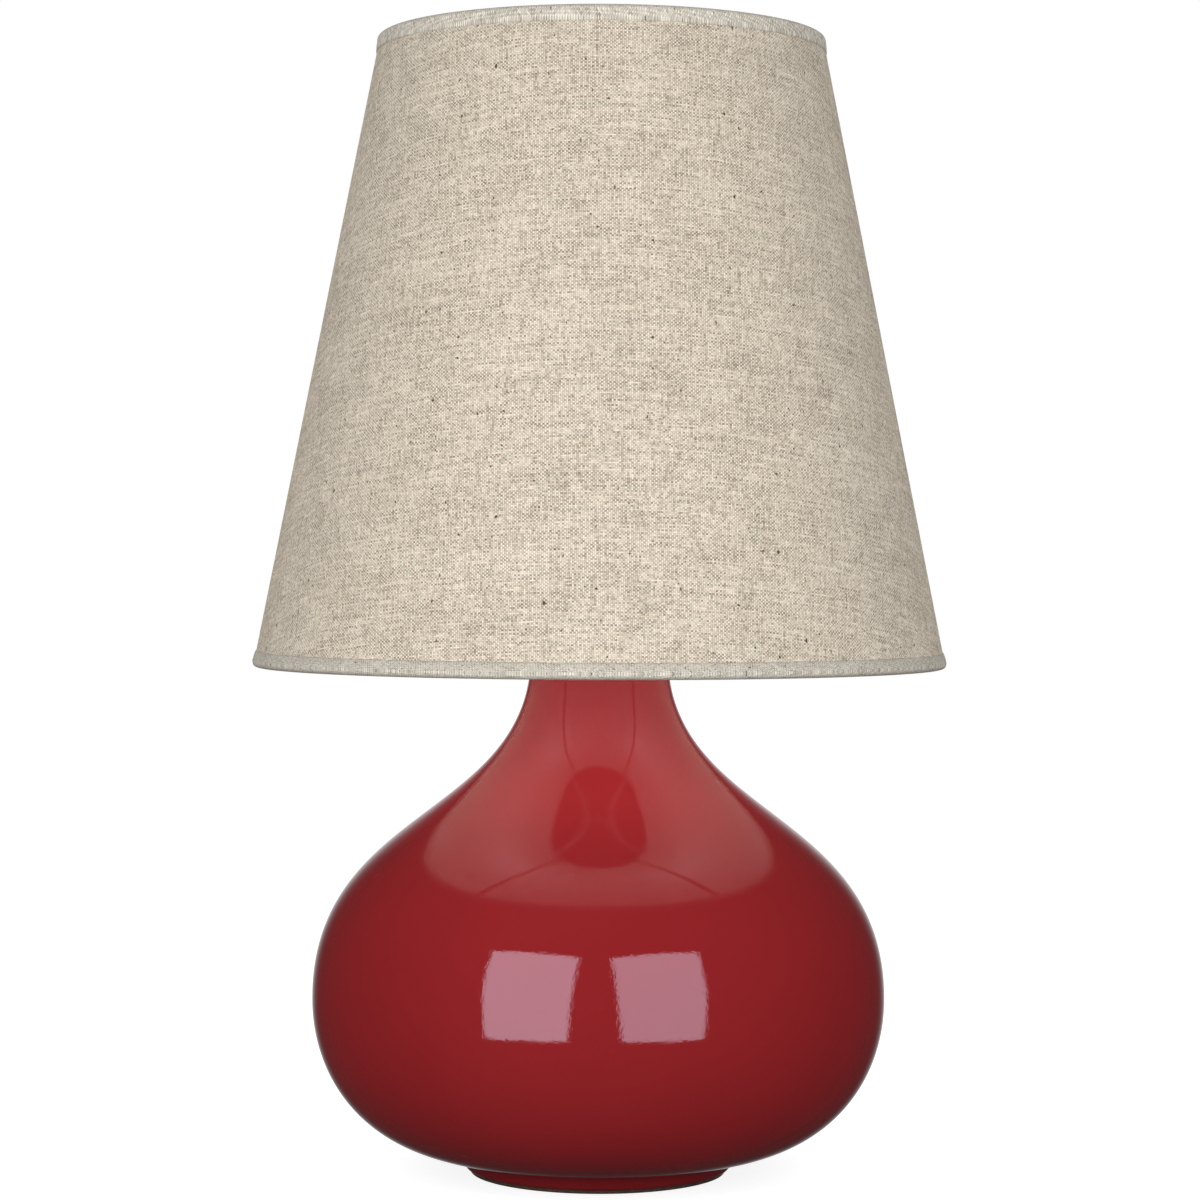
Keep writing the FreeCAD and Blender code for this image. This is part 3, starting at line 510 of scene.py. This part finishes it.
def potOutline():
    bellyPoint = (pot["belly"], pot["bellyHeight"])
    rimLow = pot["top"] - pot["rimRound"]
    footEdge = pot["foot"] - pot["footTaper"]
    under = curveThrough((pot["foot"], pot["footTop"]), pot["flatPull"],
                         (pot["belly"], pot["bellyHeight"] - pot["lowPull"]), bellyPoint,
                         pot["underPoints"])
    over = curveThrough(bellyPoint, (pot["belly"], pot["bellyHeight"] + pot["highPull"]),
                        (pot["neck"], rimLow - pot["neckPull"]), (pot["neck"], rimLow),
                        pot["overPoints"])
    bore = pot["neck"] - pot["wall"]
    innerBelly = pot["belly"] - pot["wall"]
    innerDown = curveThrough((bore, rimLow), (bore, rimLow - pot["innerNeckPull"]),
                             (innerBelly, pot["bellyHeight"] + pot["innerHighPull"]),
                             (innerBelly, pot["bellyHeight"]), pot["innerPoints"])
    innerUnder = curveThrough((innerBelly, pot["bellyHeight"]), (innerBelly, pot["innerLow"]),
                              (pot["innerFlat"], pot["floorTop"]), (pot["floorCorner"], pot["floorTop"]),
                              pot["innerUnderPoints"])
    footCentre = (footEdge - pot["footRound"], pot["footBottom"] + pot["footRound"])
    rimCentre = (pot["neck"] - pot["rimRound"], rimLow)
    boreCentre = (bore + pot["rimRound"], rimLow)
    throatEdge = pot["foot"] - pot["throat"]
    throat = curveThrough((footEdge, footCentre[1]),
                          (throatEdge - pot["throatIn"], pot["footTop"] - pot["throatDrop"]),
                          (throatEdge + pot["throatOut"], pot["footTop"] - pot["throatTop"]),
                          (pot["foot"], pot["footTop"]), pot["throatPoints"])
    return (
        [(pot["recess"], pot["recessTop"]), (pot["recess"], pot["footBottom"])]
        + quarterRound(footCentre, pot["footRound"], -90, 0, pot["footPoints"])[:-1]
        + throat[:-1] + under[:-1] + over[:-1]
        + quarterRound(rimCentre, pot["rimRound"], 0, 90, pot["rimPoints"])
        + quarterRound(boreCentre, pot["rimRound"], 90, 180, pot["rimPoints"])
        + innerDown[1:-1] + innerUnder
        + [(pot["pipeHole"], pot["floorTop"]), (pot["pipeHole"], pot["recessTop"])])


def makePot(material):
    bm = turnedPiece(potOutline(), pot["steps"])
    keepPiece("glazedPot", bm, material, "base", ["ceramic_body"], pot["sharpDeg"])


# Felt

felt = {
    "radius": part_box("felt_pad")[1][0], "top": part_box("felt_pad")[1][2], "round": 0.0006,
    "roundSegments": 3, "steps": 160, "edgeAngle": 1.0,
}


def makeFelt(material):
    bm = bmesh.new()
    bmesh.ops.create_circle(bm, cap_ends=True, segments=felt["steps"], radius=felt["radius"])
    lifted = bmesh.ops.extrude_face_region(bm, geom=bm.faces[:])
    top = [item for item in lifted["geom"] if isinstance(item, bmesh.types.BMVert)]
    bmesh.ops.translate(bm, verts=top, vec=(0, 0, felt["top"]))
    bmesh.ops.recalc_face_normals(bm, faces=bm.faces)
    edges = [edge for edge in bm.edges if edge.calc_face_angle(0) > felt["edgeAngle"]]
    bmesh.ops.bevel(bm, geom=edges, offset=felt["round"], offset_type="OFFSET",
                    segments=felt["roundSegments"], profile=0.5, affect="EDGES", material=-1)
    piece = keepPiece("feltDisc", bm, material, "base", ["felt_pad"])


# Shade

shade = {
    "footRadius": 0.1851, "footHeight": 0.271, "headRadius": 0.1183, "headHeight": 0.607,
    "cloth": 0.0009, "lining": 0.0006, "lap": 0.012, "lapLift": 0.0008, "rows": 60, "steps": 240,
    "tape": 0.0010, "tapeRim": 0.00345, "tapeWidth": 0.0084, "tapeTurn": 0.0050, "tapeLap": 0.010,
    "tapeEdge": 0.0004, "tapeSquare": 2.8, "tapeLapLift": 0.0005, "tapeSharpDeg": 60, "lapSteps": 6,
    "legPoints": 5, "rimPoints": 16, "turnPoints": 3,
    "seam": 0.008, "seamThickness": 0.0003, "seamEdge": 0.004, "seamSteps": 4,
    "seamsDeg": (-141.0, -39.0, 90.0),
}

lean = (shade["footRadius"] - shade["headRadius"]) / (shade["headHeight"] - shade["footHeight"])
clothLow = shade["footHeight"] + shade["tapeRim"]
clothHigh = shade["headHeight"] - shade["tapeRim"]


def clothRadius(height):
    return shade["footRadius"] - lean * (height - shade["footHeight"])


def wrapRound(points, radius, lap, lift):
    # A strip wrapped once round the shade from its back, with its end lapped over its start
    bm = bmesh.new()
    drawOutline(bm, points, False)
    bmesh.ops.rotate(bm, verts=bm.verts, cent=(0, 0, 0), matrix=Matrix.Rotation(toBack, 3, "Z"))
    spinRound(bm, shade["steps"], False)
    bm.verts.ensure_lookup_table()
    bm.edges.ensure_lookup_table()
    count = len(points)
    lastVerts = bm.verts[-count:]
    lastEdges = [edge for edge in bm.edges if all(v in lastVerts for v in edge.verts)]
    before = set(bm.verts)
    bmesh.ops.spin(bm, geom=lastVerts + lastEdges, cent=(0, 0, 0), axis=(0, 0, 1), dvec=(0, 0, 0),
                   angle=lap / radius, steps=shade["lapSteps"], use_merge=False, use_duplicate=False)
    lapVerts = [vert for vert in bm.verts if vert not in before]
    for vert in lapVerts + lastVerts:
        outward = Vector((vert.co.x, vert.co.y, 0)).normalized()
        vert.co += outward * lift
    bm.normal_update()
    outermost = max(bm.faces, key=lambda face: face.calc_center_median().xy.length)
    middle = outermost.calc_center_median()
    if outermost.normal.x * middle.x + outermost.normal.y * middle.y < 0:
        bmesh.ops.reverse_faces(bm, faces=bm.faces)
    return bm


def unwrapRound(bm):
    # Each corner's place on the strip laid flat: along it from the front, and across it
    layer = bm.loops.layers.uv.new("flat")
    slant = math.sqrt(1 + lean * lean)
    share = lean / slant                  # sine of the cone's half angle
    for face in bm.faces:
        middle = face.calc_center_median()
        centre = math.atan2(middle.x, -middle.y)
        for loop in face.loops:
            place = loop.vert.co
            turn = math.atan2(place.x, -place.y)
            turn += fullTurn * round((centre - turn) / fullTurn)
            reach = math.hypot(place.x, place.y) / share
            loop[layer].uv = (reach * math.sin(turn * share), -reach * math.cos(turn * share))


def addWall(piece, thickness):
    # The drawn skin is the outer face
    wall = piece.modifiers.new("wall", "SOLIDIFY")
    wall.thickness = thickness
    wall.offset = -1
    wall.use_even_offset = True


def makeCloth(material):
    rows = shade["rows"]
    heights = [clothLow + (clothHigh - clothLow) * row / rows for row in range(rows + 1)]
    points = [(clothRadius(height), height) for height in heights]
    bm = wrapRound(points, clothRadius(clothLow), shade["lap"], shade["lapLift"])
    unwrapRound(bm)
    piece = keepPiece("linenCloth", bm, material, "shade", ["shade_cloth"])
    addWall(piece, shade["cloth"])
    share = lean / math.sqrt(1 + lean * lean)
    turns = fullTurn * share
    outer = clothRadius(clothLow) / share
    inner = clothRadius(clothHigh) / share
    area = turns / 2 * (outer * outer - inner * inner)
    width = 2 * outer * math.sin(turns / 2)
    length = outer - inner * math.cos(turns / 2)


def tapeOutline(level, way):
    # The folded tape's outer skin: along its leg, which thins to its edge, and round the rim to its inside
    rim = shade["tapeRim"]
    outer = clothRadius(level) + shade["tape"]
    middle = outer - rim
    leg = way * (shade["tapeWidth"] - rim)
    turn = way * shade["tapeTurn"]
    thinner = shade["tape"] - shade["tapeEdge"]
    points = []
    for step in range(shade["legPoints"]):
        share = 1 - step / shade["legPoints"]
        points.append((outer - lean * leg * share - thinner * share ** 2, level + leg * share))
    for step in range(shade["rimPoints"] + 1):
        angle = math.pi * step / shade["rimPoints"]
        bulge = abs(math.cos(angle)) ** (2 / shade["tapeSquare"])
        drop = math.sin(angle) ** (2 / shade["tapeSquare"])
        points.append((middle + math.copysign(rim * bulge, math.cos(angle)), level - way * rim * drop))
    for step in range(shade["turnPoints"]):
        share = (step + 1) / shade["turnPoints"]
        points.append((outer - 2 * rim - lean * turn * share, level + turn * share))
    return points


def makeTape(name, node, level, way, material):
    radius = clothRadius(level)
    points = tapeOutline(level, way)
    bm = wrapRound(points, radius, shade["tapeLap"], shade["tapeLapLift"])
    unwrapRound(bm)
    piece = keepPiece(name, bm, material, "shade", [node], shade["tapeSharpDeg"])
    addWall(piece, shade["tape"])
    fullTurn * radius + shade["tapeLap"]


def makeLining(material):
    inner = shade["cloth"] + shade["lining"]
    points = [(clothRadius(clothLow) - shade["cloth"], clothLow),
              (clothRadius(clothHigh) - shade["cloth"], clothHigh),
              (clothRadius(clothHigh) - inner, clothHigh), (clothRadius(clothLow) - inner, clothLow)]
    bm = turnedPiece(points, shade["steps"])
    keepPiece("lining", bm, material, "shade", ["shade_liner"])


def makeSeams(material):
    # The lining sheet is joined from three lengths, each end lapped over the next. The laps are real; their
    # dark colour is painted shade, for the light that a double layer holds back
    inner = shade["cloth"] + shade["lining"]
    deep = inner + shade["seamThickness"]
    angle = shade["seam"] / shade["footRadius"]
    low = clothLow + shade["seamEdge"]
    high = clothHigh - shade["seamEdge"]
    corners = [(clothRadius(low) - inner, low), (clothRadius(high) - inner, high),
               (clothRadius(high) - deep, high), (clothRadius(low) - deep, low)]
    bm = bmesh.new()
    for seamDeg in shade["seamsDeg"]:
        verts = [bm.verts.new((radius, 0, height)) for radius, height in corners]
        face = bm.faces.new(verts)
        bmesh.ops.rotate(bm, verts=verts, cent=(0, 0, 0),
                         matrix=Matrix.Rotation(math.radians(seamDeg) - angle / 2, 3, "Z"))
        bmesh.ops.spin(bm, geom=verts + face.edges[:] + [face], cent=(0, 0, 0), axis=(0, 0, 1),
                       dvec=(0, 0, 0), angle=angle, steps=shade["seamSteps"], use_merge=False,
                       use_duplicate=False)
    bmesh.ops.recalc_face_normals(bm, faces=bm.faces)
    keepPiece("liningSeams", bm, material, "shade", [])


# The scene

makeCamera()
makeSoftBox("left")
makeSoftBox("right")
makeShadeLamps("liningGlow")
makeShadeLamps("neckGlow")
makeWorld()
makeFloor()
print("studio ready")

finishes = dressNodes()
print("nodes dressed")

makePot(makeGlaze())
makeFelt(finishes["brownFelt"])
makeCloth(makeWoven("oatmealLinen", linen))
makeLining(finishes["creamLining"])
makeSeams(finishes["seamPaintedShade"])
makeTape("bottomTape", "bottom_trim", clothLow, 1, makeWoven("bottomTapeCloth", tape))
makeTape("topTape", "top_trim", clothHigh, -1, makeWoven("topTapePaintedLightCloth", topTape))

bpy.context.scene.view_settings.view_transform = "Standard"
